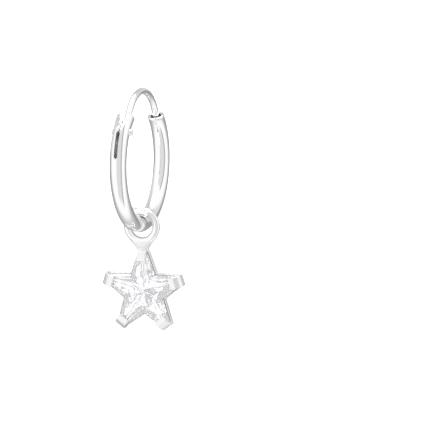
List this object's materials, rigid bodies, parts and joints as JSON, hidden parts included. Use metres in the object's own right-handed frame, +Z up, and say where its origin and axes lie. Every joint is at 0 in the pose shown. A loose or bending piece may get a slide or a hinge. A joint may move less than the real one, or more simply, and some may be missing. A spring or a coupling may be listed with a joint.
{
  "type": "hoop charm earring",
  "caption": "Hinged silver hoop earring with a round ear wire on a rivet, and a claw-set faceted star charm that swings from a round loop on the hoop.",
  "frame": {"origin": "centre of the round ear wire at the highest point of its bow, where it hangs in the ear lobe", "axes": "+Z up; the hoop stands in the YZ plane with the rivet towards -Y; the star faces -Y; +X to the right seen from the star's front"},
  "size_m": [0.0074, 0.012, 0.0208],
  "materials": {
    "silver_tube": "polished sterling silver",
    "silver_rivet": "polished sterling silver",
    "silver_wire": "polished sterling silver",
    "silver_setting": "polished sterling silver",
    "clear_stone": "clear cubic zirconia, cut and polished"
  },
  "bodies": {
    "hoop": {"hoop_tube": "silver_tube", "hinge_pin": "silver_rivet"},
    "wire": {"ear_wire": "silver_wire"},
    "charm": {"star_setting": "silver_setting", "star_stone": "clear_stone"}
  },
  "joints": [
    {"name": "wire_hinge", "type": "hinge", "parent": "hoop", "child": "wire", "pos_m": [0, -0.0046, -0.00292], "axis": [1, 0, 0], "range_deg": [0, 90]},
    {"name": "charm_swing", "type": "hinge", "parent": "hoop", "child": "charm", "pos_m": [0, -0.00052, -0.01151], "axis": [0, 1, 0], "continuous": true}
  ]
}
